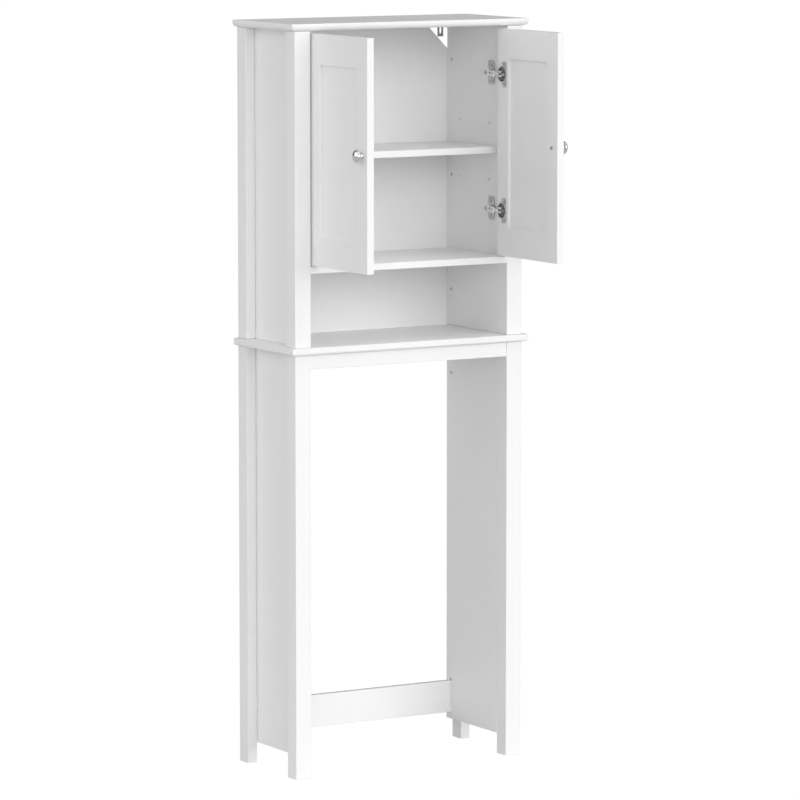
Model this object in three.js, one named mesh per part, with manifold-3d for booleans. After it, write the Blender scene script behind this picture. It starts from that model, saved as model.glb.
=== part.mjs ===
// Storage cabinet on a tall open stand that goes over a toilet, in painted board.
// Millimetres, +Z up, the front faces -Y. Both doors stand open at 90 degrees.
// The origin is on the floor, in the middle of the width and of the depth over the open doors.

import * as THREE from "three";
import { mergeVertices } from "three/addons/utils/BufferGeometryUtils.js";
import Module from "manifold-3d";

const wasm = await Module();
wasm.setup();

// ---------------------------------------------------------------- driving sizes

// Whole cabinet
const totalHeight = 1700;
const bodyWidth = 595; // across the posts
const bodyDepth = 265; // post fronts to the rear edge of the side panels
const standHeight = 978; // floor to the top of the middle board
const fitGap = 0.3; // glue line or paint film between two fixed pieces

// Top and middle boards
const topThickness = 16;
const middleThickness = 16;
const sideOverhang = 11.5;
const frontOverhang = 10;
const topUnderRound = 11; // big round under the top board's edge
const middleUnderRound = 5;

// Posts, legs and side panels
const postWidth = 40;
const postDepth = 40;
const rearStripDepth = 40;
const sideThickness = 16;
const sideFootClearance = 47; // floor to the lower side panels

// Lower stand
const apronHeight = 33;
const apronThickness = 15;
const apronSetback = 2;
const stretcherHeight = 75;
const stretcherLift = 63;
const stretcherThickness = 15;
const stretcherInset = 5; // from the rear edge of the side panels

// Shelves and back
const nicheHeight = 165.5;
const shelfThickness = 15;
const shelfSideGap = 1;
const shelfFrontSetback = 5; // behind the front posts
const shelfBackGap = 2;
const backThickness = 3;
const backEdgeInset = 6; // from the posts' outer faces
const backOverlap = 12; // onto the rear edges of the top and middle boards
const backCornerCut = 62;

// Shelf pins
const pinRadius = 2.5;
const pinLength = 16; // half of it in the side panel
const pinHoleClearance = 0.15;
const pinFrontSetback = 37.5; // behind the side panel's front edge
const pinRearSetback = 57; // before the side panel's rear edge
const pinRowHeight = 235.5; // middle row, above the fixed shelf
const pinRowPitch = 65;
const pinNotchClearance = 0.3;

// Doors
const doorThickness = 17;
const doorSideGap = 2;
const doorMeetingGap = 2;
const doorBottomGap = 3;
const doorTopGap = 6;
const doorOpenAngle = 90; // degrees, as the cabinet is drawn
const stileWidth = 47;
const railHeight = 68;
const doorPanelThickness = 6;
const doorPanelFrontRecess = 5;
const doorPanelTongue = 7;

// Knobs
const knobEdgeDistance = 24;
const knobRadius = 15;
const knobProjection = 21;
const knobBaseRadius = 8;
const knobStemRadius = 5.5;
const knobWidestAt = 13.5; // from the door face
const knobScrewRadius = 2;
const knobScrewHole = 2.4;
const knobScrewHeadRadius = 4.2;
const knobScrewHeadHeight = 2.2;
const knobScrewGrip = 6; // thread inside the knob

// Concealed hinges. The door turns about an upright line just inside its front corner.
const hingeEndDistance = 103.2; // hinge centre to the door's end
const hingeAxisInset = 6; // from the door's hinge edge
const hingeAxisDepth = 4.5; // behind the door's front face
const cupRadius = 17.2;
const cupWall = 0.8;
const cupDepth = 13;
const cupBoreClearance = 0.3;
const cupEdgeDistance = 3; // bore to the door's hinge edge
const cupRimRadius = 18.4;
const cupFlangeThickness = 1.2;
const cupFlangeLength = 57;
const cupFlangeWidth = 17;
const cupFlangeOffset = 9.5; // flange centre beyond the cup's centre
const cupFlangeCorner = 6;
const linkHeight = 5;
const linkThickness = 2.2;
const linkEyeRadius = 2.2;
const linkEndRadius = 1.1;
const linkCupEnd = [0.4, 6]; // door end of the link from the hinge axis, door shut
const linkPivotRise = 15; // cabinet end of the link, behind the hinge axis
const armHeight = 12;
const armThickness = 6.5;
const armRearY = 80; // behind the posts' fronts
const armCrankY = 48;
const armNoseRadius = 3.1;
const armLift = 7; // off the side panel
const plateThickness = 1.8;
const plateWingHeight = 55;
const plateWingWidth = 26;
const plateWingY = 67.5;
const plateBridgeHeight = 18;
const plateBlockHeight = 11;

// Anti-tip brackets
const bracketWidth = 15;
const bracketThickness = 1.5;
const bracketDrop = 35;
const bracketFootLength = 26;
const bracketInset = 17; // bracket centre from the side panel
const bracketSlotWidth = 5.5;
const bracketSlotLength = 21;
const bracketSlotLift = 7;
const bracketScrewRadius = 1.8;
const bracketScrewHeadRadius = 3.6;
const bracketScrewHeadHeight = 2;
const bracketScrewGrip = 10;
const bracketScrewClearance = 0.4;

// ---------------------------------------------------------------- worked-out places

const fixedShelfBottom = standHeight + nicheHeight;
const fixedShelfTop = fixedShelfBottom + shelfThickness;
const topUnderside = totalHeight - topThickness;
const middleUnderside = standHeight - middleThickness;
const innerWidth = bodyWidth - 2 * postWidth;
const stripWidth = postWidth - sideThickness - fitGap;
const backFrontY = bodyDepth + fitGap;
const backRearY = backFrontY + backThickness;
const pinZ = fixedShelfTop + pinRowHeight;
const pinColumns = {
  front: postDepth + pinFrontSetback,
  rear: bodyDepth - pinRearSetback,
};

const doorWidth = (innerWidth - 2 * doorSideGap - doorMeetingGap) / 2;
const doorBottom = fixedShelfTop + doorBottomGap;
const doorHeight = topUnderside - doorTopGap - doorBottom;
const hingeAxisX = postWidth + doorSideGap + hingeAxisInset;
const hingeHeights = {
  upper: doorBottom + doorHeight - hingeEndDistance,
  lower: doorBottom + hingeEndDistance,
};

// The link's cabinet pivot lies on the line that halves the angle its door end swings through.
const linkEndAngle = Math.atan2(linkCupEnd[1], linkCupEnd[0]);
const linkPivotAngle = linkEndAngle - THREE.MathUtils.degToRad(doorOpenAngle) / 2;
const linkPivot = [linkPivotRise / Math.tan(linkPivotAngle), linkPivotRise];

const doorReachY = hingeAxisDepth + hingeAxisInset - doorWidth; // free edge, door open
const middleOfDepth = (doorReachY + backRearY) / 2;

// ---------------------------------------------------------------- materials

const whitePaint = new THREE.MeshStandardMaterial({ color: 0xf1f1ef, roughness: 0.45 });
const whiteBack = new THREE.MeshStandardMaterial({ color: 0xe9e9e7, roughness: 0.6 });
const nickel = new THREE.MeshStandardMaterial({ color: 0xb9bab9, roughness: 0.3, metalness: 1 });
const chrome = new THREE.MeshStandardMaterial({ color: 0xdddddd, roughness: 0.1, metalness: 1 });
const zincSteel = new THREE.MeshStandardMaterial({ color: 0x8d8f90, roughness: 0.4, metalness: 1 });

// ---------------------------------------------------------------- shape helpers

// A box from its low corner and its size.
function block([x, y, z], [width, depth, height]) {
  const box = new THREE.BoxGeometry(width, depth, height);
  return box.translate(x + width / 2, y + depth / 2, z + height / 2);
}

// An upright or lying cylinder of a hole or a shank.
function rod(radius, length, axis, [x, y, z], sides = 24) {
  const cylinder = new THREE.CylinderGeometry(radius, radius, length, sides);
  if (axis === "x") cylinder.rotateZ(-Math.PI / 2);
  if (axis === "z") cylinder.rotateX(Math.PI / 2);
  return cylinder.translate(x, y, z);
}

// A plan outline made solid between two heights.
function plate(outline, bottom, height, curveSegments = 10) {
  const shape = outline instanceof THREE.Shape ? outline : new THREE.Shape(outline);
  const solid = new THREE.ExtrudeGeometry(shape, { depth: height, bevelEnabled: false, curveSegments });
  return solid.translate(0, 0, bottom);
}

function toSolid(geometry) {
  const bare = geometry.clone();
  bare.deleteAttribute("normal");
  bare.deleteAttribute("uv");
  const merged = mergeVertices(bare, 1e-4);
  return new wasm.Manifold(
    new wasm.Mesh({
      numProp: 3,
      vertProperties: merged.getAttribute("position").array,
      triVerts: new Uint32Array(merged.index.array),
    }),
  );
}

function toGeometry(solid) {
  const mesh = solid.getMesh();
  const geometry = new THREE.BufferGeometry();
  geometry.setAttribute("position", new THREE.BufferAttribute(mesh.vertProperties, 3));
  geometry.setIndex(new THREE.BufferAttribute(mesh.triVerts, 1));
  geometry.computeVertexNormals();
  return geometry;
}

const cut = (body, ...tools) =>
  toGeometry(tools.reduce((solid, tool) => solid.subtract(toSolid(tool)), toSolid(body)));
const join = (body, ...others) =>
  toGeometry(others.reduce((solid, other) => solid.add(toSolid(other)), toSolid(body)));
const common = (a, b) => toGeometry(toSolid(a).intersect(toSolid(b)));

function piece(parent, name, geometry, material) {
  const mesh = new THREE.Mesh(geometry, material);
  mesh.name = name;
  parent.add(mesh);
  return mesh;
}

// ---------------------------------------------------------------- top and middle boards

// Edge section of a board: square above, rounded under, at each end that asks for it.
function roundedUnderSection(length, thickness, round, roundFarEnd) {
  const section = new THREE.Shape();
  section.moveTo(0, thickness);
  section.lineTo(0, round);
  section.absarc(round, round, round, Math.PI, 1.5 * Math.PI, false);
  if (roundFarEnd) section.absarc(length - round, round, round, 1.5 * Math.PI, 2 * Math.PI, false);
  else section.lineTo(length, 0);
  section.lineTo(length, thickness);
  section.closePath();
  return section;
}

// The board is what two long mouldings have in common: one seen from the side, one from the front.
function overhangingBoard(thickness, round) {
  const width = bodyWidth + 2 * sideOverhang;
  const depth = bodyDepth + frontOverhang;
  const sideView = plate(roundedUnderSection(depth, thickness, round, false), 0, width, 6);
  sideView.rotateX(Math.PI / 2).rotateZ(Math.PI / 2);
  sideView.translate(-width / 2, -frontOverhang, 0);
  const frontView = plate(roundedUnderSection(width, thickness, round, true), 0, depth, 6);
  frontView.rotateX(Math.PI / 2).translate(-width / 2, bodyDepth, 0);
  return common(sideView, frontView);
}

function bracketScrewPlace() {
  return [bodyWidth / 2 - postWidth - bracketInset, bodyDepth - bracketFootLength / 2];
}

function topPanel() {
  const [x, y] = bracketScrewPlace();
  const pilot = (side) => rod(bracketScrewRadius + fitGap, 2 * bracketScrewGrip, "z", [side * x, y, 0]);
  return cut(overhangingBoard(topThickness, topUnderRound), pilot(-1), pilot(1));
}

function backPanel() {
  const edgeX = bodyWidth / 2 - backEdgeInset;
  const low = middleUnderside + middleThickness - backOverlap;
  const high = topUnderside + backOverlap;
  const cutAcross = backCornerCut + backOverlap; // along the top edge, from the side panel's face
  const cutDown = backCornerCut + postWidth - backEdgeInset;
  const half = innerWidth / 2;
  const outline = [
    [-edgeX, low],
    [edgeX, low],
    [edgeX, topUnderside - cutDown],
    [half - cutAcross, high],
    [cutAcross - half, high],
    [-edgeX, topUnderside - cutDown],
  ].map(([x, z]) => new THREE.Vector2(x, z));
  return plate(outline, 0, backThickness).rotateX(Math.PI / 2).translate(0, backRearY, 0);
}

// ---------------------------------------------------------------- shelves and cross boards

function crossBoard(y, z, depth, height, sideGap) {
  const width = innerWidth - 2 * sideGap;
  return block([-width / 2, y, z], [width, depth, height]);
}

function adjustableShelf() {
  const front = postDepth + shelfFrontSetback;
  const depth = bodyDepth - shelfBackGap - front;
  const board = crossBoard(front, pinZ - pinRadius, depth, shelfThickness, shelfSideGap);
  const notchWidth = 2 * (pinRadius + pinNotchClearance);
  const notches = [];
  for (const y of Object.values(pinColumns))
    for (const side of [-1, 1]) {
      const x = side * (innerWidth / 2) - pinLength / 2 - pinNotchClearance;
      const size = [pinLength + 2 * pinNotchClearance, notchWidth, notchWidth];
      notches.push(block([x, y - notchWidth / 2, pinZ - notchWidth / 2], size));
    }
  return cut(board, ...notches);
}

// ---------------------------------------------------------------- one side of the cabinet
// Built for the left side, x from the posts' outer face inwards, and mirrored for the right.

function upright(x, y, bottom, top, width, depth) {
  return block([x, y, bottom], [width, depth, top - bottom]);
}

function upperSidePanel() {
  const front = postDepth + fitGap;
  const bottom = standHeight + fitGap;
  const top = topUnderside - fitGap;
  const panel = upright(postWidth - sideThickness, front, bottom, top, sideThickness, bodyDepth - front);
  const holes = [];
  for (const y of Object.values(pinColumns))
    for (const row of [-1, 0, 1])
      holes.push(
        rod(pinRadius + pinHoleClearance, pinLength + 1, "x", [postWidth, y, pinZ + row * pinRowPitch], 16),
      );
  return cut(panel, ...holes);
}

function wallBracket() {
  const x = postWidth + bracketInset - bracketWidth / 2;
  const legTop = topUnderside - fitGap;
  const leg = new THREE.Shape();
  leg.moveTo(0, bracketDrop).lineTo(0, 0).lineTo(bracketWidth, 0).lineTo(bracketWidth, bracketDrop);
  leg.closePath();
  const slot = new THREE.Path();
  const slotRadius = bracketSlotWidth / 2;
  const slotLow = bracketSlotLift + slotRadius;
  const slotHigh = bracketSlotLift + bracketSlotLength - slotRadius;
  slot.absarc(bracketWidth / 2, slotLow, slotRadius, Math.PI, 2 * Math.PI, false);
  slot.absarc(bracketWidth / 2, slotHigh, slotRadius, 0, Math.PI, false);
  slot.closePath();
  leg.holes.push(slot);
  const upright = plate(leg, 0, bracketThickness).rotateX(Math.PI / 2);
  upright.translate(x, backRearY, legTop - bracketDrop);
  const footY = bodyDepth - bracketFootLength;
  const footSize = [bracketWidth, backRearY - footY, bracketThickness];
  const foot = block([x, footY, legTop - bracketThickness], footSize);
  const holeY = bracketScrewPlace()[1];
  const hole = rod(bracketScrewRadius + bracketScrewClearance, 3 * bracketThickness, "z", [
    postWidth + bracketInset,
    holeY,
    legTop,
  ]);
  return cut(join(upright, foot), hole);
}

// A pan-head screw along +Z: its head below, its shank above.
function panHeadScrew(radius, length, headRadius, headHeight) {
  const profile = [
    [0, -headHeight],
    [headRadius * 0.55, -headHeight],
    [headRadius * 0.9, -headHeight * 0.65],
    [headRadius, 0],
    [radius, 0],
    [radius, length - radius],
    [0, length],
  ].map(([r, y]) => new THREE.Vector2(r, y));
  return new THREE.LatheGeometry(profile, 20).rotateX(Math.PI / 2);
}

function shelfPin(y) {
  return rod(pinRadius, pinLength, "x", [postWidth, y, pinZ], 16);
}

// ---------------------------------------------------------------- concealed hinge
// The arm and its plate are in the side's own frame, the cup in the door's, and the link about its pivot.

function hingePlate(z) {
  const face = postWidth + fitGap;
  const wingY = plateWingY - plateWingWidth / 2;
  const wing = block([face, wingY, z - plateWingHeight / 2], [plateThickness, plateWingWidth, plateWingHeight]);
  const bridgeSize = [plateThickness, armRearY - wingY + 2, plateBridgeHeight];
  const bridge = block([face, wingY - 2, z - plateBridgeHeight / 2], bridgeSize);
  const blockSize = [armLift - 2 * fitGap, armRearY - wingY - 4, plateBlockHeight];
  const raised = block([face, wingY, z - plateBlockHeight / 2], blockSize);
  return join(wing, bridge, raised);
}

function hingeArm(z) {
  const low = postWidth + armLift;
  const high = low + armThickness;
  const pivotX = hingeAxisX + linkPivot[0];
  const pivotY = hingeAxisDepth + linkPivot[1];
  const outline = new THREE.Shape();
  outline.moveTo(low, armRearY);
  outline.lineTo(low, armCrankY - 2);
  outline.lineTo(pivotX - armNoseRadius, pivotY + armNoseRadius * 1.5);
  outline.absarc(pivotX, pivotY, armNoseRadius, Math.PI, 2 * Math.PI, false);
  outline.lineTo(pivotX + armNoseRadius, pivotY + armThickness);
  outline.lineTo(high, armCrankY + 2);
  outline.lineTo(high, armRearY);
  outline.closePath();
  const arm = plate(outline, z - armHeight / 2, armHeight);
  const slotHeight = linkHeight + 2 * fitGap;
  const slotLength = 2 * (armNoseRadius + linkEyeRadius) + 2;
  const slot = block(
    [pivotX - slotLength, pivotY - armNoseRadius - 1, z - slotHeight / 2],
    [2 * slotLength, slotLength, slotHeight],
  );
  return cut(arm, slot);
}

// The link in its open pose, about its cabinet pivot: down past the door's edge, then into the cup.
function hingeLink() {
  const [endX, endY] = [linkCupEnd[1] - linkPivot[0], -linkCupEnd[0] - linkPivot[1]];
  const elbowOuter = doorThickness - hingeAxisDepth + 0.9 + linkThickness - linkPivot[0];
  const elbowInner = elbowOuter - linkThickness;
  const barTop = endY + linkEndRadius * 0.9;
  const barBottom = endY - linkEndRadius * 0.6;
  const outline = new THREE.Shape();
  outline.moveTo(-linkEyeRadius, 0);
  outline.lineTo(elbowInner, -linkEyeRadius * 2);
  outline.lineTo(elbowInner, barTop);
  outline.lineTo(endX, endY + linkEndRadius);
  outline.absarc(endX, endY, linkEndRadius, Math.PI / 2, 1.5 * Math.PI, false);
  outline.lineTo(elbowOuter - 1, barBottom);
  outline.lineTo(elbowOuter, barBottom + 1);
  outline.lineTo(elbowOuter, -linkEyeRadius * 2);
  outline.lineTo(linkEyeRadius, 0);
  outline.absarc(0, 0, linkEyeRadius, 0, Math.PI, false);
  return plate(outline, -linkHeight / 2, linkHeight);
}

// The flange: a flat strip with rounded corners, lying on the door's inner face.
function cupFlange() {
  const near = cupFlangeOffset - cupFlangeWidth / 2 + cupFlangeCorner;
  const far = cupFlangeOffset + cupFlangeWidth / 2 - cupFlangeCorner;
  const end = cupFlangeLength / 2 - cupFlangeCorner;
  const outline = new THREE.Shape();
  outline.moveTo(far + cupFlangeCorner, -end);
  outline.absarc(far, end, cupFlangeCorner, 0, Math.PI / 2, false);
  outline.absarc(near, end, cupFlangeCorner, Math.PI / 2, Math.PI, false);
  outline.absarc(near, -end, cupFlangeCorner, Math.PI, 1.5 * Math.PI, false);
  outline.absarc(far, -end, cupFlangeCorner, 1.5 * Math.PI, 2 * Math.PI, false);
  return plate(outline, -fitGap - cupFlangeThickness, cupFlangeThickness).rotateX(Math.PI / 2);
}

// The cup in the door's frame: a pressed bowl with a rim, and a flange that takes two screws.
function hingeCup() {
  const profile = [
    [0, -cupDepth],
    [cupRadius - cupWall, -cupDepth],
    [cupRadius, cupWall - cupDepth],
    [cupRadius, fitGap],
    [cupRimRadius, fitGap],
    [cupRimRadius, fitGap + cupFlangeThickness],
    [0, fitGap + cupFlangeThickness],
  ].map(([r, y]) => new THREE.Vector2(r, y));
  const bowl = new THREE.LatheGeometry(profile, 40);
  const flange = cupFlange();
  const hollowDepth = cupDepth - cupWall;
  const hollow = rod(cupRadius - cupWall, hollowDepth + 5, "y", [0, (5 - hollowDepth) / 2, 0], 40);
  const gateHeight = linkHeight + 3;
  const gate = block([-cupRimRadius - 1, fitGap / 2, -gateHeight / 2], [cupRimRadius, 5, gateHeight]);
  return cut(join(bowl, flange), hollow, gate);
}

// ---------------------------------------------------------------- one door
// Built shut, about the hinge axis: x towards the free edge, y into the cabinet, z from the floor.

const doorLeft = -hingeAxisInset;
const doorRight = doorLeft + doorWidth;
const doorFront = -hingeAxisDepth;
const doorBack = doorFront + doorThickness;
const cupX = doorLeft + cupEdgeDistance + cupRadius + cupBoreClearance;
const panelFront = doorFront + doorPanelFrontRecess;
const grooveDepth = doorPanelTongue + fitGap;

// A groove all round the opening, which the stiles and rails are cut by and the panel fills.
function doorGroove() {
  const x = doorLeft + stileWidth - grooveDepth;
  const width = doorWidth - 2 * stileWidth + 2 * grooveDepth;
  const z = doorBottom + railHeight - grooveDepth;
  const height = doorHeight - 2 * railHeight + 2 * grooveDepth;
  const thickness = doorPanelThickness + 2 * fitGap;
  return block([x, panelFront - fitGap, z], [width, thickness, height]);
}

function doorStile(x) {
  return block([x, doorFront, doorBottom], [stileWidth, doorThickness, doorHeight]);
}

function hingeStile() {
  const bores = Object.values(hingeHeights).map((z) =>
    rod(cupRadius + cupBoreClearance, 2 * (cupDepth + fitGap), "y", [cupX, doorBack, z], 40),
  );
  return cut(doorStile(doorLeft), doorGroove(), ...bores);
}

function knobStile() {
  const z = doorBottom + doorHeight / 2;
  const hole = rod(knobScrewHole, 3 * doorThickness, "y", [doorRight - knobEdgeDistance, 0, z]);
  return cut(doorStile(doorRight - stileWidth), doorGroove(), hole);
}

function doorRail(z) {
  const x = doorLeft + stileWidth + fitGap;
  const width = doorWidth - 2 * stileWidth - 2 * fitGap;
  return cut(block([x, doorFront, z], [width, doorThickness, railHeight]), doorGroove());
}

function doorPanel() {
  const x = doorLeft + stileWidth - doorPanelTongue;
  const width = doorWidth - 2 * stileWidth + 2 * doorPanelTongue;
  const z = doorBottom + railHeight - doorPanelTongue;
  const height = doorHeight - 2 * railHeight + 2 * doorPanelTongue;
  return block([x, panelFront, z], [width, doorPanelThickness, height]);
}

// A turned knob along +Y from the door's face, with a threaded bore for its screw.
function knob() {
  const boreRadius = knobScrewRadius + fitGap;
  const profile = new THREE.Path();
  profile.moveTo(0, knobScrewGrip + 1);
  profile.lineTo(boreRadius, knobScrewGrip + 1);
  profile.lineTo(boreRadius, 0);
  profile.lineTo(knobBaseRadius, 0);
  profile.lineTo(knobBaseRadius, 1.6);
  profile.quadraticCurveTo(knobStemRadius, 2.2, knobStemRadius, 5);
  profile.quadraticCurveTo(knobRadius - 1, 7, knobRadius, knobWidestAt);
  profile.quadraticCurveTo(knobRadius - 1, knobProjection, 0, knobProjection);
  return new THREE.LatheGeometry(profile.getPoints(6), 32);
}

function door(side) {
  const group = new THREE.Group();
  const topRailZ = doorBottom + doorHeight - railHeight;
  piece(group, `${side}_door_hinge_stile`, hingeStile(), whitePaint);
  piece(group, `${side}_door_knob_stile`, knobStile(), whitePaint);
  piece(group, `${side}_door_top_rail`, doorRail(topRailZ), whitePaint);
  piece(group, `${side}_door_bottom_rail`, doorRail(doorBottom), whitePaint);
  piece(group, `${side}_door_panel`, doorPanel(), whitePaint);

  const knobX = doorRight - knobEdgeDistance;
  const knobZ = doorBottom + doorHeight / 2;
  const turned = piece(group, `${side}_knob`, knob(), chrome);
  turned.position.set(knobX, doorFront - fitGap, knobZ);
  turned.rotation.x = Math.PI;
  const screwLength = doorThickness + 2 * fitGap + knobScrewGrip;
  const screwShape = panHeadScrew(knobScrewRadius, screwLength, knobScrewHeadRadius, knobScrewHeadHeight);
  const screw = piece(group, `${side}_knob_screw`, screwShape, zincSteel);
  screw.position.set(knobX, doorBack + fitGap, knobZ);
  screw.rotation.x = Math.PI / 2;

  for (const [level, z] of Object.entries(hingeHeights)) {
    const cup = piece(group, `${side}_${level}_hinge_cup`, hingeCup(), nickel);
    cup.position.set(cupX, doorBack, z);
  }
  group.position.set(hingeAxisX, hingeAxisDepth, 0);
  group.rotation.z = -THREE.MathUtils.degToRad(doorOpenAngle);
  return group;
}

// ---------------------------------------------------------------- assembly

function cabinetSide(side) {
  const group = new THREE.Group();
  const upperBottom = standHeight + fitGap;
  const upperTop = topUnderside - fitGap;
  const legTop = middleUnderside - fitGap;
  const rearY = bodyDepth - rearStripDepth;
  const panelX = postWidth - sideThickness;
  const panelY = postDepth + fitGap;
  const frontPost = upright(0, 0, upperBottom, upperTop, postWidth, postDepth);
  const rearPost = upright(0, rearY, upperBottom, upperTop, stripWidth, rearStripDepth);
  const frontLeg = upright(0, 0, 0, legTop, postWidth, postDepth);
  const rearLeg = upright(0, rearY, 0, legTop, stripWidth, rearStripDepth);
  const lowerPanel = upright(panelX, panelY, sideFootClearance, legTop, sideThickness, bodyDepth - panelY);
  piece(group, `${side}_upper_front_post`, frontPost, whitePaint);
  piece(group, `${side}_upper_rear_post`, rearPost, whitePaint);
  piece(group, `${side}_upper_side_panel`, upperSidePanel(), whitePaint);
  piece(group, `${side}_front_leg`, frontLeg, whitePaint);
  piece(group, `${side}_rear_leg`, rearLeg, whitePaint);
  piece(group, `${side}_lower_side_panel`, lowerPanel, whitePaint);

  for (const [place, y] of Object.entries(pinColumns))
    piece(group, `${side}_${place}_shelf_pin`, shelfPin(y), zincSteel);

  for (const [level, z] of Object.entries(hingeHeights)) {
    piece(group, `${side}_${level}_hinge_plate`, hingePlate(z), nickel);
    piece(group, `${side}_${level}_hinge_arm`, hingeArm(z), nickel);
    const link = piece(group, `${side}_${level}_hinge_link`, hingeLink(), nickel);
    link.position.set(hingeAxisX + linkPivot[0], hingeAxisDepth + linkPivot[1], z);
  }

  piece(group, `${side}_wall_bracket`, wallBracket(), zincSteel);
  const screwLength = bracketThickness + 2 * fitGap + bracketScrewGrip - 1;
  const screwShape = panHeadScrew(
    bracketScrewRadius,
    screwLength,
    bracketScrewHeadRadius,
    bracketScrewHeadHeight,
  );
  const screw = piece(group, `${side}_bracket_screw`, screwShape, zincSteel);
  const screwZ = topUnderside - 2 * fitGap - bracketThickness;
  screw.position.set(postWidth + bracketInset, bracketScrewPlace()[1], screwZ);

  group.add(door(side));
  group.position.x = side === "left" ? -bodyWidth / 2 : bodyWidth / 2;
  if (side === "right") group.scale.x = -1;
  return group;
}

const cabinet = new THREE.Group();
cabinet.name = "over_toilet_cabinet";
cabinet.position.y = -middleOfDepth;
cabinet.add(cabinetSide("left"), cabinetSide("right"));

piece(cabinet, "top_panel", topPanel(), whitePaint).position.z = topUnderside;
const middleBoard = overhangingBoard(middleThickness, middleUnderRound);
piece(cabinet, "middle_panel", middleBoard, whitePaint).position.z = middleUnderside;
piece(cabinet, "back_panel", backPanel(), whiteBack);

const fixedShelf = crossBoard(0, fixedShelfBottom, bodyDepth, shelfThickness, fitGap);
const apronZ = middleUnderside - fitGap - apronHeight;
const apron = crossBoard(apronSetback, apronZ, apronThickness, apronHeight, fitGap);
const stretcherY = bodyDepth - stretcherInset - stretcherThickness;
const stretcher = crossBoard(stretcherY, stretcherLift, stretcherThickness, stretcherHeight, fitGap);
piece(cabinet, "fixed_shelf", fixedShelf, whitePaint);
piece(cabinet, "adjustable_shelf", adjustableShelf(), whitePaint);
piece(cabinet, "front_apron", apron, whitePaint);
piece(cabinet, "rear_stretcher", stretcher, whitePaint);

export default cabinet;
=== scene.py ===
import math
import bmesh
import bpy
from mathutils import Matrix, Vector


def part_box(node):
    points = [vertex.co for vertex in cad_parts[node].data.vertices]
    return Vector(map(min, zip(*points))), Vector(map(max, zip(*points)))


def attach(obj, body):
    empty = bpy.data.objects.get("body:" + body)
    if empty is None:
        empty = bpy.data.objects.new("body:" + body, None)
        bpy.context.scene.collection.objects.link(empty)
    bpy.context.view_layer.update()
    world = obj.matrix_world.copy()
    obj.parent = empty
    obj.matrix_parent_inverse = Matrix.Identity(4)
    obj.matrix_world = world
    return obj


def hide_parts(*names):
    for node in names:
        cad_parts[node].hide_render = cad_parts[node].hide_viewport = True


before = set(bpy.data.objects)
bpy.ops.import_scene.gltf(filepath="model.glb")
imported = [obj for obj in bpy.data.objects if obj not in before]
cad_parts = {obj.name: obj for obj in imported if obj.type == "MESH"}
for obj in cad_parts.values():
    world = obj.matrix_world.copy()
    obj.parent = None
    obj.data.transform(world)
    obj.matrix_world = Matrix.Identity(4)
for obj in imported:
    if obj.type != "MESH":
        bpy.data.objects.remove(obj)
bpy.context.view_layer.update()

# ---------------------------------------------------------------- camera
# A long lens eleven metres off, to the left of the cabinet and a little above it.
# It looks slightly down and is level from side to side.

camera_place = (-5.5415, -9.319, 2.184)
camera_turn = 30.65  # degrees clockwise from square on to the front
camera_drop = 7.05  # degrees below level
camera_lens = 217.1
camera_sensor = 36
camera_reach = 900

bpy.ops.object.select_all(action="DESELECT")
bpy.ops.object.camera_add(location=camera_place)
camera = bpy.context.object
camera.rotation_euler = (math.radians(90 - camera_drop), 0, -math.radians(camera_turn))
camera.data.lens = camera_lens
camera.data.sensor_width = camera_sensor
camera.data.clip_end = camera_reach
bpy.context.scene.camera = camera

# ---------------------------------------------------------------- studio
# A plain white floor that runs out of sight, under a soft white tent.
# The tent shines from the front, the front left, overhead and the left.

floor_size = 700
floor_drop = 0.0005  # below the feet
floor_bounce = 0.7
seen_white = 1.02  # strength of floor and tent where the camera looks straight at them
tent_even = 0.08
tent_front = 2.8
front_way = (0.3, -1, 0.3)
front_from = 0.75
tent_key = 2.5
key_way = (-0.45, -1, 0.15)
key_from = 0.9
tent_top = 2.0
top_way = (0, -0.3, 1)
top_from = 0.85
tent_left = 1.3
left_way = (-1, 0.1, 0.25)
left_from = 0.55


def show_when_seen(tree, lit, shown, output):
    """The camera sees the second shader, and all other light meets the first."""
    seen = tree.nodes.new("ShaderNodeLightPath")
    either = tree.nodes.new("ShaderNodeMixShader")
    tree.links.new(seen.outputs["Is Camera Ray"], either.inputs["Fac"])
    tree.links.new(lit.outputs[0], either.inputs[1])
    tree.links.new(shown.outputs[0], either.inputs[2])
    tree.links.new(either.outputs[0], output.inputs["Surface"])


bpy.context.scene.view_settings.view_transform = "Standard"
bpy.ops.mesh.primitive_plane_add(size=floor_size, location=(0, 0, -floor_drop))
floor = bpy.context.object
floor.name = "studio_floor"
floor_paint = bpy.data.materials.new("studio_floor_white")
floor_paint.use_nodes = True
floor_tree = floor_paint.node_tree
floor_shader = floor_tree.nodes["Principled BSDF"]
floor_shader.inputs["Base Color"].default_value = (floor_bounce, floor_bounce, floor_bounce, 1)
floor_shader.inputs["Roughness"].default_value = 1
floor_shader.inputs["Specular IOR Level"].default_value = 0
floor_glow = floor_tree.nodes.new("ShaderNodeEmission")
floor_glow.inputs["Strength"].default_value = seen_white
show_when_seen(floor_tree, floor_shader, floor_glow, floor_tree.nodes["Material Output"])
floor.data.materials.append(floor_paint)

tent = bpy.data.worlds.new("studio_tent")
bpy.context.scene.world = tent
tent.use_nodes = True
tent_tree = tent.node_tree
direction = tent_tree.nodes.new("ShaderNodeTexCoord")


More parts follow.
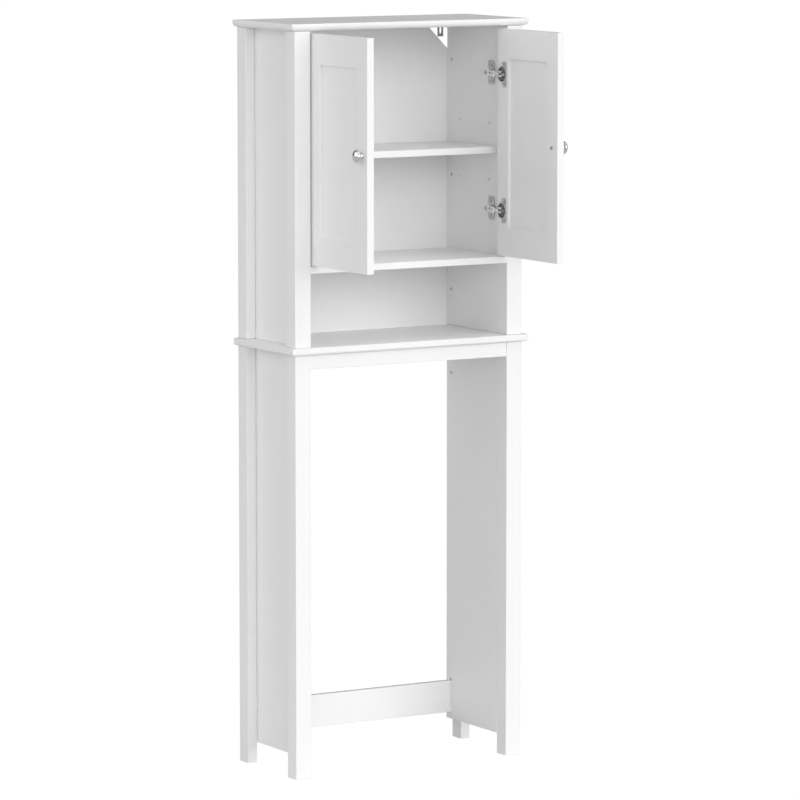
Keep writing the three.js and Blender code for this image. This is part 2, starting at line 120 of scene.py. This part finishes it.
def add_glow(towards, from_low, from_high, strength):
    """Light that grows as a direction in the tent turns towards one way."""
    turn = tent_tree.nodes.new("ShaderNodeVectorMath")
    turn.operation = "DOT_PRODUCT"
    turn.inputs[1].default_value = Vector(towards).normalized()
    tent_tree.links.new(direction.outputs["Generated"], turn.inputs[0])
    rise = tent_tree.nodes.new("ShaderNodeMapRange")
    rise.interpolation_type = "SMOOTHSTEP"
    rise.inputs["From Min"].default_value = from_low
    rise.inputs["From Max"].default_value = from_high
    rise.inputs["To Min"].default_value = 0
    rise.inputs["To Max"].default_value = strength
    tent_tree.links.new(turn.outputs["Value"], rise.inputs["Value"])
    return rise.outputs["Result"]


def add_up(first, second):
    total = tent_tree.nodes.new("ShaderNodeMath")
    tent_tree.links.new(first, total.inputs[0])
    tent_tree.links.new(second, total.inputs[1])
    return total.outputs[0]


# A rise that ends below -1 is over in every direction, so this light is the same all round.
even_glow = add_glow((0, 0, 1), -2, -1.5, tent_even)
front_glow = add_glow(front_way, front_from, 1.0, tent_front)
key_glow = add_glow(key_way, key_from, 1.0, tent_key)
top_glow = add_glow(top_way, top_from, 1.0, tent_top)
left_glow = add_glow(left_way, left_from, 1.0, tent_left)
brightness = add_up(add_up(add_up(even_glow, front_glow), key_glow), add_up(top_glow, left_glow))
tent_light = tent_tree.nodes["Background"]
tent_tree.links.new(brightness, tent_light.inputs["Strength"])
tent_light.inputs["Color"].default_value = (1, 1, 1, 1)
tent_backdrop = tent_tree.nodes.new("ShaderNodeBackground")
tent_backdrop.inputs["Strength"].default_value = seen_white
tent_backdrop.inputs["Color"].default_value = (1, 1, 1, 1)
show_when_seen(tent_tree, tent_light, tent_backdrop, tent_tree.nodes["World Output"])

# ---------------------------------------------------------------- paint
# Satin white lacquer sprayed on medium-density board. It has a fine orange peel,
# a slow change of film thickness and a few faint dust nibs.

paint_white = (0.9, 0.9, 0.905, 1)
paint_shade = (0.88, 0.88, 0.885, 1)
drift_noise = (5, 3)  # scale and detail
cloud_noise = (38, 4)
peel_noise = (650, 2)
nib_noise = (240, 1)
nib_rise = (0.74, 0.8)
film_cloud = 0.5  # share of the cloud in the film's tone
film_rise = (0.45, 1.05)
gloss_peel = 0.4  # share of the peel in the gloss
gloss_rise = (0.3, 1.1)
gloss_span = (0.36, 0.5)
height_drift = 2.0  # shares of drift and nibs in the surface
height_nibs = 0.8
lacquer_ior = 1.48
lacquer_coat = 0.08
lacquer_coat_roughness = 0.3
lacquer_relief = 0.00012
door_paint_shift = (3.1, 1.7, 0.4)  # so doors and carcass don't share a pattern


def make_group(name, inputs, outputs):
    group = bpy.data.node_groups.new(name, "ShaderNodeTree")
    for label, kind, value in inputs:
        socket = group.interface.new_socket(label, in_out="INPUT", socket_type=kind)
        if value is not None:
            socket.default_value = value
    for label, kind in outputs:
        group.interface.new_socket(label, in_out="OUTPUT", socket_type=kind)
    return group, group.nodes.new("NodeGroupInput"), group.nodes.new("NodeGroupOutput")


def add_noise(tree, place, scale, detail):
    noise = tree.nodes.new("ShaderNodeTexNoise")
    noise.inputs["Scale"].default_value = scale
    noise.inputs["Detail"].default_value = detail
    tree.links.new(place, noise.inputs["Vector"])
    return noise.outputs["Fac"]


def add_range(tree, value, taken, given=(0, 1)):
    """Maps a value from the range that is taken to the range that is given."""
    span = tree.nodes.new("ShaderNodeMapRange")
    tree.links.new(value, span.inputs["Value"])
    span.inputs["From Min"].default_value = taken[0]
    span.inputs["From Max"].default_value = taken[1]
    span.inputs["To Min"].default_value = given[0]
    span.inputs["To Max"].default_value = given[1]
    return span.outputs["Result"]


def add_sum(tree, first, second, share):
    """The first value and a share of the second."""
    blend = tree.nodes.new("ShaderNodeMath")
    blend.operation = "MULTIPLY_ADD"
    tree.links.new(second, blend.inputs[0])
    blend.inputs[1].default_value = share
    tree.links.new(first, blend.inputs[2])
    return blend.outputs[0]


spray_film, film_in, film_out = make_group(
    "sprayed_film",
    [("Place", "NodeSocketVector", None)],
    [("Film", "NodeSocketFloat"), ("Gloss", "NodeSocketFloat"), ("Height", "NodeSocketFloat")],
)
drift = add_noise(spray_film, film_in.outputs["Place"], *drift_noise)
cloud = add_noise(spray_film, film_in.outputs["Place"], *cloud_noise)
peel = add_noise(spray_film, film_in.outputs["Place"], *peel_noise)
nibs = add_range(spray_film, add_noise(spray_film, film_in.outputs["Place"], *nib_noise), nib_rise)
film_tone = add_range(spray_film, add_sum(spray_film, drift, cloud, film_cloud), film_rise)
gloss = add_range(spray_film, add_sum(spray_film, cloud, peel, gloss_peel), gloss_rise, gloss_span)
film_height = add_sum(spray_film, add_sum(spray_film, peel, drift, height_drift), nibs, height_nibs)
spray_film.links.new(film_tone, film_out.inputs["Film"])
spray_film.links.new(gloss, film_out.inputs["Gloss"])
spray_film.links.new(film_height, film_out.inputs["Height"])


def make_paint(name, light, dark, bump, shift=(0, 0, 0)):
    paint = bpy.data.materials.new(name)
    paint.use_nodes = True
    tree = paint.node_tree
    shader = tree.nodes["Principled BSDF"]
    shader.inputs["IOR"].default_value = lacquer_ior
    shader.inputs["Coat Weight"].default_value = lacquer_coat
    shader.inputs["Coat Roughness"].default_value = lacquer_coat_roughness
    place = tree.nodes.new("ShaderNodeTexCoord")
    mapping = tree.nodes.new("ShaderNodeMapping")
    mapping.inputs["Location"].default_value = shift
    tree.links.new(place.outputs["Object"], mapping.inputs["Vector"])
    film = tree.nodes.new("ShaderNodeGroup")
    film.node_tree = spray_film
    tree.links.new(mapping.outputs[0], film.inputs["Place"])
    colour = tree.nodes.new("ShaderNodeMix")
    colour.data_type = "RGBA"
    colour.inputs["A"].default_value = dark
    colour.inputs["B"].default_value = light
    tree.links.new(film.outputs["Film"], colour.inputs["Factor"])
    tree.links.new(colour.outputs["Result"], shader.inputs["Base Color"])
    tree.links.new(film.outputs["Gloss"], shader.inputs["Roughness"])
    relief = tree.nodes.new("ShaderNodeBump")
    relief.inputs["Strength"].default_value = bump
    relief.inputs["Distance"].default_value = lacquer_relief
    tree.links.new(film.outputs["Height"], relief.inputs["Height"])
    tree.links.new(relief.outputs[0], shader.inputs["Normal"])
    return paint


carcass_paint = make_paint("satin_white_board", paint_white, paint_shade, bump=0.5)
door_paint = make_paint(
    "satin_white_door", paint_white, paint_shade, bump=0.45, shift=door_paint_shift
)

# ---------------------------------------------------------------- straight boards
# Posts, legs, lower side panels, fixed shelf, apron and rear stretcher: board cut to
# size, its edges eased with a sanding block before the paint, held by cams and dowels.

side_signs = {"left": -1, "right": 1}
sides = tuple(side_signs)
post_ease = 0.0014
shelf_ease = 0.001
panel_ease = 0.0006
end_close = 0.0003  # closes the assembly gap at a board's ends


def add_block(name, low, high):
    bpy.ops.object.select_all(action="DESELECT")
    middle = [(a + b) / 2 for a, b in zip(low, high)]
    bpy.ops.mesh.primitive_cube_add(size=1, location=middle)
    piece = bpy.context.object
    piece.name = name
    piece.scale = [b - a for a, b in zip(low, high)]
    bpy.ops.object.transform_apply(location=True, rotation=True, scale=True)
    return piece


def pick_edges(piece, test):
    """Selects, in edit mode, the edges whose middle and direction pass the test."""
    bpy.ops.object.mode_set(mode="EDIT")
    bpy.ops.mesh.select_mode(type="EDGE")
    bpy.ops.mesh.select_all(action="DESELECT")
    mesh = bmesh.from_edit_mesh(piece.data)
    for edge in mesh.edges:
        a, b = (vertex.co for vertex in edge.verts)
        if test((a + b) / 2, (b - a).normalized()):
            edge.select_set(True)
    mesh.select_flush_mode()
    bmesh.update_edit_mesh(piece.data)


def ease_edges(piece, radius, segments=3, test=None):
    pick_edges(piece, test or (lambda middle, along: True))
    bpy.ops.mesh.bevel(offset=radius, segments=segments, affect="EDGES", clamp_overlap=True)
    bpy.ops.object.mode_set(mode="OBJECT")


def cut_away(piece, name, cutter):
    """Takes the cutter's shape out of the piece and deletes the cutter."""
    bpy.ops.object.select_all(action="DESELECT")
    bpy.context.view_layer.objects.active = piece
    cut = piece.modifiers.new(name, "BOOLEAN")
    cut.operation = "DIFFERENCE"
    cut.solver = "EXACT"
    cut.object = cutter
    bpy.ops.object.modifier_apply(modifier=cut.name)
    bpy.data.objects.remove(cutter)


def drill(piece, name, places, radius, length, corners):
    """Drills round holes that run from side to side."""
    for place in places:
        bpy.ops.object.select_all(action="DESELECT")
        bpy.ops.mesh.primitive_cylinder_add(
            vertices=corners, radius=radius, depth=length, location=place, rotation=(0, math.pi / 2, 0)
        )
        cut_away(piece, name, bpy.context.object)


def settle(piece, body, material, nodes=(), angle=35):
    """Smooths the piece, gives it its finish, hangs it on what it rides on and hides the frame parts it
    stands for.
    """
    bpy.ops.object.select_all(action="DESELECT")
    piece.select_set(True)
    bpy.context.view_layer.objects.active = piece
    bpy.ops.object.shade_smooth_by_angle(angle=math.radians(angle))
    flats = piece.modifiers.new("flat_faces_first", "WEIGHTED_NORMAL")
    flats.keep_sharp = True
    bpy.ops.object.modifier_apply(modifier=flats.name)
    piece.data.materials.clear()
    piece.data.materials.append(material)
    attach(piece, body)
    if nodes:
        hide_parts(*nodes)
    return piece


def add_board(node, ease, body="carcass", material=carcass_paint, grow=(0, 0, 0)):
    low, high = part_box(node)
    grow = Vector(grow)
    piece = add_block(node + "_board", low - grow, high + grow)
    ease_edges(piece, ease)
    return settle(piece, body, material, [node])


for side in sides:
    for part in ("upper_front_post", "upper_rear_post", "front_leg", "rear_leg"):
        add_board(f"{side}_{part}", post_ease)
    add_board(f"{side}_lower_side_panel", panel_ease)
for node in ("fixed_shelf", "front_apron", "rear_stretcher"):
    add_board(node, shelf_ease, grow=(end_close, 0, 0))

# ---------------------------------------------------------------- top and middle boards
# Two overhanging boards. Each keeps a crisp upper edge and has a bullnose cut
# into its lower edge at the front and both sides, and a square rear edge.

top_bullnose = 0.011
middle_bullnose = 0.005
bullnose_steps = 10
upper_edge_ease = 0.0012
touching = 1e-4  # an edge this near a face belongs to it
straight = 0.99  # least share of an edge's length that runs along an axis


def add_moulded_board(node, bullnose):
    low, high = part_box(node)
    piece = add_block(node + "_board", low, high)

    def under_edge(middle, along):
        at_side = abs(abs(middle.x) - high.x) < touching
        at_front = abs(middle.y - low.y) < touching
        return abs(middle.z - low.z) < touching and (at_side or at_front)

    ease_edges(piece, bullnose, segments=bullnose_steps, test=under_edge)

    def upper_edge(middle, along):
        outer = abs(abs(middle.x) - high.x) < touching or abs(middle.y - low.y) < touching
        return outer and (abs(middle.z - high.z) < touching or abs(along.z) > straight)

    ease_edges(piece, upper_edge_ease, test=upper_edge)
    return settle(piece, "carcass", carcass_paint, [node])


add_moulded_board("top_panel", top_bullnose)
add_moulded_board("middle_panel", middle_bullnose)

# ---------------------------------------------------------------- upper side panels
# Each upper side panel has two columns of blind holes for the shelf pins,
# drilled with a multi-spindle borer after painting, so their rims are crisp.

pin_hole_radius = 0.00265
pin_hole_depth = 0.0085
pin_row_pitch = 0.065
pin_hole_corners = 20
pin_height = (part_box("left_front_shelf_pin")[0].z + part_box("left_front_shelf_pin")[1].z) / 2
pin_columns = [
    (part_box(f"left_{where}_shelf_pin")[0].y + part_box(f"left_{where}_shelf_pin")[1].y) / 2
    for where in ("front", "rear")
]
for side in sides:
    node = f"{side}_upper_side_panel"
    low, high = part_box(node)
    inner_face = high.x if side == "left" else low.x
    panel = add_block(node + "_board", low, high)
    ease_edges(panel, panel_ease)
    holes = [
        (inner_face, y, pin_height + row * pin_row_pitch) for y in pin_columns for row in (-1, 0, 1)
    ]
    drill(panel, "shelf_pin_hole", holes, pin_hole_radius, 2 * pin_hole_depth, pin_hole_corners)
    settle(panel, "carcass", carcass_paint, [node])

# ---------------------------------------------------------------- adjustable shelf
# The movable shelf rests on four steel pins that hide in notches under its ends.
# The notches are milled after its edges are eased, so they stay sharp.

pin_notch = 0.0056
pin_notch_slack = 0.0003  # past the pin's end
shelf_low, shelf_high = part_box("adjustable_shelf")
shelf = add_block("adjustable_shelf_board", shelf_low, shelf_high)
ease_edges(shelf, shelf_ease)
for side in sides:
    for where in ("front", "rear"):
        pin_low, pin_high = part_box(f"{side}_{where}_shelf_pin")
        centre = (pin_low + pin_high) / 2
        pin_reach = (pin_high.x - pin_low.x) / 2
        reach = Vector((pin_reach + pin_notch_slack, pin_notch / 2, pin_notch / 2))
        cut_away(shelf, "pin_notch", add_block("notch", centre - reach, centre + reach))
settle(shelf, "carcass", carcass_paint, ["adjustable_shelf"])

# ---------------------------------------------------------------- back board
# Thin hardboard with a flat white film, nailed to the rear edges.
# Its upper corners are sawn off so the wall brackets can reach the wall.

back_white = (0.9, 0.9, 0.905, 1)
back_shade = (0.87, 0.87, 0.875, 1)
back_film_shift = (0.7, 5.2, 1.1)


def finish_node(node, material):
    """Gives a node that keeps its shape from the frame its real finish."""
    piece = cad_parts[node]
    piece.data.materials.clear()
    piece.data.materials.append(material)


back_film = make_paint("flat_white_back", back_white, back_shade, bump=0.8, shift=back_film_shift)
finish_node("back_panel", back_film)

# ---------------------------------------------------------------- doors
# Framed doors: two stiles and two rails round a thin centre panel, glued and
# painted as one, so the joints are hairlines and the panel sits back on both faces.

frame_ease = 0.0007
rail_ease = 0.0003
joint_close = 0.0003  # closes the assembly gap at the rails' ends
cup_bore_radius = 0.0175
cup_bore_depth = 0.0133
cup_bore_edge = 0.003  # wood left between the bore and the hinge edge
cup_bore_corners = 48
knob_hole_radius = 0.0024
knob_hole_length = 0.12
knob_hole_corners = 24

for side in sides:
    body = f"{side}_door"
    for part in ("top_rail", "bottom_rail"):
        add_board(f"{side}_door_{part}", rail_ease, body, door_paint, (0, joint_close, 0))
    add_board(f"{side}_door_panel", rail_ease, body, door_paint)

    node = f"{side}_door_hinge_stile"
    low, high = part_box(node)
    stile = add_block(node + "_board", low, high)
    ease_edges(stile, frame_ease)
    bores = []
    for level in ("upper", "lower"):
        cup_low, cup_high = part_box(f"{side}_{level}_hinge_cup")
        bore_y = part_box(node)[1].y - cup_bore_edge - cup_bore_radius
        inner_face = high.x if side == "left" else low.x
        bores.append((inner_face, bore_y, (cup_low.z + cup_high.z) / 2))
    drill(stile, "cup_bore", bores, cup_bore_radius, 2 * cup_bore_depth, cup_bore_corners)
    settle(stile, body, door_paint, [node])

    node = f"{side}_door_knob_stile"
    stile_low, stile_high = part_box(node)
    stile = add_block(node + "_board", stile_low, stile_high)
    ease_edges(stile, frame_ease)
    knob_low, knob_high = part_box(f"{side}_knob")
    knob_centre = (knob_low + knob_high) / 2
    drill(stile, "knob_hole", [knob_centre], knob_hole_radius, knob_hole_length, knob_hole_corners)
    settle(stile, body, door_paint, [node])

# ---------------------------------------------------------------- plated metal
# The fittings are pressed or turned steel with nickel, zinc or chrome plating,
# with fine polishing lines, faint finger smears and small pits.

smear_noise = (160, 4)  # scale and detail
line_noise = (260, 3)
line_stretch = (1, 1, 14)
pit_noise = (1500, 1)
smear_rise = (0.35, 0.65)
pit_rise = (0.7, 0.78)
pit_drop = (0, -1)
height_pits = 0.6  # share of the pits in the surface
plating_relief = 0.00005

plating, plate_in, plate_out = make_group(
    "plated_metal",
    [
        ("Place", "NodeSocketVector", None),
        ("Smooth", "NodeSocketFloat", 0.2),
        ("Rough", "NodeSocketFloat", 0.35),
    ],
    [("Tone", "NodeSocketFloat"), ("Roughness", "NodeSocketFloat"), ("Height", "NodeSocketFloat")],
)
stretch = plating.nodes.new("ShaderNodeMapping")
stretch.inputs["Scale"].default_value = line_stretch
plating.links.new(plate_in.outputs["Place"], stretch.inputs["Vector"])
smears = add_range(plating, add_noise(plating, plate_in.outputs["Place"], *smear_noise), smear_rise)
lines = add_noise(plating, stretch.outputs[0], *line_noise)
pits = add_range(plating, add_noise(plating, plate_in.outputs["Place"], *pit_noise), pit_rise, pit_drop)
plating.links.new(smears, plate_out.inputs["Tone"])
plating.links.new(add_sum(plating, lines, pits, height_pits), plate_out.inputs["Height"])
wear = plating.nodes.new("ShaderNodeMix")
plating.links.new(smears, wear.inputs["Factor"])
plating.links.new(plate_in.outputs["Smooth"], wear.inputs["A"])
plating.links.new(plate_in.outputs["Rough"], wear.inputs["B"])
plating.links.new(wear.outputs["Result"], plate_out.inputs["Roughness"])


def make_plating(name, light, dark, smooth, rough, bump):
    metal = bpy.data.materials.new(name)
    metal.use_nodes = True
    tree = metal.node_tree
    shader = tree.nodes["Principled BSDF"]
    shader.inputs["Metallic"].default_value = 1
    place = tree.nodes.new("ShaderNodeTexCoord")
    skin = tree.nodes.new("ShaderNodeGroup")
    skin.node_tree = plating
    skin.inputs["Smooth"].default_value = smooth
    skin.inputs["Rough"].default_value = rough
    tree.links.new(place.outputs["Object"], skin.inputs["Place"])
    colour = tree.nodes.new("ShaderNodeMix")
    colour.data_type = "RGBA"
    colour.inputs["A"].default_value = light
    colour.inputs["B"].default_value = dark
    tree.links.new(skin.outputs["Tone"], colour.inputs["Factor"])
    tree.links.new(colour.outputs["Result"], shader.inputs["Base Color"])
    tree.links.new(skin.outputs["Roughness"], shader.inputs["Roughness"])
    relief = tree.nodes.new("ShaderNodeBump")
    relief.inputs["Strength"].default_value = bump
    relief.inputs["Distance"].default_value = plating_relief
    tree.links.new(skin.outputs["Height"], relief.inputs["Height"])
    tree.links.new(relief.outputs[0], shader.inputs["Normal"])
    return metal


nickel = make_plating(
    "nickel_plate", (0.56, 0.55, 0.53, 1), (0.47, 0.46, 0.45, 1), smooth=0.2, rough=0.34, bump=0.5
)
bright_nickel = make_plating(
    "bright_nickel_plate", (0.92, 0.91, 0.9, 1), (0.86, 0.85, 0.84, 1), smooth=0.3, rough=0.4, bump=0.3
)
zinc = make_plating(
    "zinc_plate", (0.45, 0.46, 0.47, 1), (0.36, 0.37, 0.38, 1), smooth=0.3, rough=0.45, bump=0.7
)
chrome = make_plating(
    "polished_chrome", (0.82, 0.82, 0.83, 1), (0.76, 0.76, 0.77, 1), smooth=0.04, rough=0.12, bump=0.1
)

# ---------------------------------------------------------------- screws
# Pan-head screws with a cross recess, cold headed in steel, zinc or nickel plated
# and driven by hand. Only the heads are made here, as the shanks are hidden.

head_corners = 28
head_round = 0.45  # share of the head's height
head_top = 0.9  # share of the head's height, and above it is only the upper edge
recess_reach = 0.62  # share of the head's radius
recess_width = 0.13  # share of the head's radius, to each side
recess_depth = 0.55  # share of the head's height
cutter_top = 1.5  # share of the head's height, so the cutter comes out of the top


def add_screw(name, place, outward, radius, height, body, material=None, nodes=()):
    bpy.ops.object.select_all(action="DESELECT")
    bpy.ops.mesh.primitive_cylinder_add(
        vertices=head_corners, radius=radius, depth=height, location=(0, 0, height / 2)
    )
    head = bpy.context.object
    head.name = name
    bpy.ops.object.transform_apply(location=True, rotation=True, scale=True)
    ease_edges(head, height * head_round, 4, lambda middle, along: middle.z > height * head_top)
    reach = radius * recess_reach
    slim = radius * recess_width
    for across, along in ((reach, slim), (slim, reach)):
        low = (-across, -along, height * (1 - recess_depth))
        high = (across, along, height * cutter_top)
        cut_away(head, "cross_recess", add_block("recess_arm", low, high))
    head.rotation_euler = Vector(outward).to_track_quat("Z", "Y").to_euler()
    head.location = place
    bpy.ops.object.select_all(action="DESELECT")
    head.select_set(True)
    bpy.context.view_layer.objects.active = head
    bpy.ops.object.transform_apply(location=True, rotation=True, scale=True)
    return settle(head, body, material or zinc, nodes)


# ---------------------------------------------------------------- side-panel screws
# Wood screws go through the side panels into the rear posts, with their
# heads just proud of the panels' inner faces.

side_screw_radius = 0.0036
side_screw_sunk = 0.0009
side_screw_proud = 0.0006
side_screw_heights = {"lower": (0.141, 0.867), "upper": (1.063, 1.330, 1.597)}  # above the floor

for side, sign in side_signs.items():
    for level, heights in side_screw_heights.items():
        low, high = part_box(f"{side}_{level}_side_panel")
        inner_face = high.x if side == "left" else low.x
        rear_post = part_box(f"{side}_rear_leg")
        screw_y = (rear_post[0].y + rear_post[1].y) / 2
        for number, z in enumerate(heights):
            place = (inner_face + sign * side_screw_sunk, screw_y, z)
            add_screw(
                f"{side}_{level}_panel_screw_{number + 1}", place, (-sign, 0, 0),
                side_screw_radius, side_screw_sunk + side_screw_proud, "carcass",
            )

# ---------------------------------------------------------------- knobs
# Round mushroom knobs turned in brass and chrome plated, each held by a
# machine screw through the door from behind.

knob_corners = 48
knob_crown = 0.0002  # last rise to the middle of the face
knob_screw_radius = 0.0042
knob_screw_height = 0.0022
# How far out each ring of the turned shape is, and its radius.
knob_profile = [
    (0.0000, 0.0080), (0.0004, 0.0082), (0.0014, 0.0082), (0.0019, 0.0074), (0.0034, 0.0058),
    (0.0056, 0.0053), (0.0074, 0.0062), (0.0086, 0.0085), (0.0096, 0.0118), (0.0108, 0.0141),
    (0.0124, 0.0149), (0.0142, 0.0148), (0.0158, 0.0140), (0.0174, 0.0124), (0.0190, 0.0098),
    (0.0202, 0.0063), (0.0208, 0.0030),
]
for side, sign in side_signs.items():
    knob_low, knob_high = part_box(f"{side}_knob")
    centre = (knob_low + knob_high) / 2
    base_x = knob_high.x if side == "left" else knob_low.x
    bpy.ops.object.select_all(action="DESELECT")
    bpy.ops.mesh.primitive_circle_add(
        vertices=knob_corners, radius=knob_profile[0][1], fill_type="NGON", location=(0, 0, 0)
    )
    turned = bpy.context.object
    turned.name = f"{side}_turned_knob"
    bpy.ops.object.mode_set(mode="EDIT")
    bpy.ops.mesh.select_all(action="SELECT")
    for (out, radius), (last_out, last_radius) in zip(knob_profile[1:], knob_profile):
        bpy.ops.mesh.extrude_region_move(TRANSFORM_OT_translate={"value": (0, 0, out - last_out)})
        share = radius / last_radius
        bpy.ops.transform.resize(value=(share, share, 1), center_override=(0, 0, 0))
    bpy.ops.mesh.extrude_region_move(TRANSFORM_OT_translate={"value": (0, 0, knob_crown)})
    bpy.ops.mesh.merge(type="CENTER")
    bpy.ops.mesh.select_all(action="SELECT")
    bpy.ops.mesh.normals_make_consistent(inside=False)
    bpy.ops.object.mode_set(mode="OBJECT")
    turned.rotation_euler = (0, sign * math.pi / 2, 0)
    turned.location = (base_x, centre.y, centre.z)
    bpy.ops.object.transform_apply(location=True, rotation=True, scale=True)
    rounding = turned.modifiers.new("turned_curves", "SUBSURF")
    rounding.levels = rounding.render_levels = 1
    bpy.ops.object.modifier_apply(modifier=rounding.name)
    settle(turned, f"{side}_door", chrome, [f"{side}_knob"], angle=50)

    screw_low, screw_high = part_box(f"{side}_knob_screw")
    inner_x = screw_high.x if side == "left" else screw_low.x
    place = (inner_x + sign * knob_screw_height, centre.y, centre.z)
    add_screw(
        f"{side}_knob_screw_head", place, (-sign, 0, 0), knob_screw_radius, knob_screw_height,
        f"{side}_door", nodes=[f"{side}_knob_screw"],
    )

# ---------------------------------------------------------------- shelf pins
# Plain zinc-plated steel pins, pushed into the side panels' middle row of holes.
# They keep the shape that they have in the frame.

for side in sides:
    for where in ("front", "rear"):
        finish_node(f"{side}_{where}_shelf_pin", zinc)

# ---------------------------------------------------------------- wall brackets
# Small pressed angle plates that screw up into the top board and, through a
# long slot, back to the wall, so the tall cabinet can't tip over.

bracket_screw_radius = 0.0036
bracket_screw_height = 0.002

for side in sides:
    finish_node(f"{side}_wall_bracket", zinc)
    low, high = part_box(f"{side}_bracket_screw")
    place = ((low.x + high.x) / 2, (low.y + high.y) / 2, low.z + bracket_screw_height)
    add_screw(
        f"{side}_bracket_screw_head", place, (0, 0, -1), bracket_screw_radius, bracket_screw_height,
        "carcass", nodes=[f"{side}_bracket_screw"],
    )

# ---------------------------------------------------------------- concealed hinges
# Cup hinges pressed in nickel-plated steel: a winged plate screwed to the side
# panel, an arm clipped over it, a link, and a cup let into the door, with a flange
# for its screws and two short cheeks beside the link.

pressed_ease = 0.0004
wing_thickness = 0.0018
wing_front = 0.002  # behind the plate's front edge
wing_rear = 0.028
wing_half_height = 0.0275
wing_corner = 0.006
wing_screw_back = 0.015  # behind the plate's front edge
wing_screw_spread = 0.018
wing_screw_radius = 0.0041
wing_screw_height = 0.0016
bridge_near = 0.0004  # from the side panel
bridge_far = 0.0062
bridge_front = 0.001  # behind the plate's front edge
bridge_rear = 0.004  # before its rear edge
bridge_half_height = 0.0056
bridge_ease = 0.0014
arm_top = 0.0132  # from the side panel
arm_screw_height = 0.0016
arm_screws = ((0.008, 0.0052), (0.025, 0.0034))  # from the arm's rear end, and radius
flange_screw_spread = 0.0225
flange_screw_radius = 0.0036
flange_screw_height = 0.0014
cup_rim_radius = 0.0184
flange_beyond_centre = 0.0095
cheek_near = 0.0024  # from the cup's rim
cheek_far = 0.0159
cheek_inner = 0.0031  # beside the link
cheek_outer = 0.0068
cheek_sunk = 0.0001  # below the flange's face
cheek_thickness = 0.0011

for side, sign in side_signs.items():
    for level in ("upper", "lower"):
        plate_node = f"{side}_{level}_hinge_plate"
        plate_low, plate_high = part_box(plate_node)
        hinge_z = (plate_low.z + plate_high.z) / 2
        wall_x = plate_low.x if side == "left" else plate_high.x
        inward = -sign

        def slab(name, x_near, x_far, y_low, y_high, half_height):
            xs = sorted((wall_x + inward * x_near, wall_x + inward * x_far))
            low = (xs[0], y_low, hinge_z - half_height)
            return add_block(name, low, (xs[1], y_high, hinge_z + half_height))

        wing = slab(
            f"{side}_{level}_plate_wing", 0, wing_thickness,
            plate_low.y + wing_front, plate_low.y + wing_rear, wing_half_height,
        )
        ease_edges(wing, wing_corner, 6, lambda middle, along: abs(along.x) > straight)
        ease_edges(wing, pressed_ease, 2, lambda middle, along: abs(along.x) < straight)
        settle(wing, "carcass", nickel, [plate_node])
        bridge = slab(
            f"{side}_{level}_plate_bridge", bridge_near, bridge_far,
            plate_low.y + bridge_front, plate_high.y - bridge_rear, bridge_half_height,
        )
        ease_edges(bridge, bridge_ease, 4)
        settle(bridge, "carcass", nickel)
        for number, dz in enumerate((wing_screw_spread, -wing_screw_spread)):
            place = (wall_x + inward * wing_thickness, plate_low.y + wing_screw_back, hinge_z + dz)
            add_screw(
                f"{side}_{level}_plate_screw_{number + 1}", place, (inward, 0, 0),
                wing_screw_radius, wing_screw_height, "carcass", nickel,
            )

        arm_node = f"{side}_{level}_hinge_arm"
        arm_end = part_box(arm_node)[1].y
        finish_node(arm_node, bright_nickel)
        finish_node(f"{side}_{level}_hinge_link", bright_nickel)
        for number, (from_end, radius) in enumerate(arm_screws):
            place = (wall_x + inward * arm_top, arm_end - from_end, hinge_z)
            add_screw(
                f"{side}_{level}_arm_screw_{number + 1}", place, (inward, 0, 0), radius, arm_screw_height,
                "carcass", nickel,
            )

        cup_node = f"{side}_{level}_hinge_cup"
        cup_low, cup_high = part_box(cup_node)
        finish_node(cup_node, nickel)
        flange_x = cup_high.x if side == "left" else cup_low.x
        cheek_foot_x = flange_x - inward * cheek_sunk
        cheek_xs = sorted((cheek_foot_x, cheek_foot_x - inward * cheek_thickness))
        for number, way in enumerate((1, -1)):
            zs = sorted((hinge_z + way * cheek_inner, hinge_z + way * cheek_outer))
            cheek_low = (cheek_xs[0], cup_high.y - cheek_far, zs[0])
            cheek_high = (cheek_xs[1], cup_high.y - cheek_near, zs[1])
            cheek = add_block(f"{side}_{level}_cup_cheek_{number + 1}", cheek_low, cheek_high)
            ease_edges(cheek, pressed_ease, 2)
            settle(cheek, f"{side}_door", bright_nickel)
        flange_y = cup_high.y - cup_rim_radius - flange_beyond_centre
        for number, dz in enumerate((flange_screw_spread, -flange_screw_spread)):
            add_screw(
                f"{side}_{level}_cup_screw_{number + 1}", (flange_x, flange_y, hinge_z + dz), (inward, 0, 0),
                flange_screw_radius, flange_screw_height, f"{side}_door", nickel,
            )
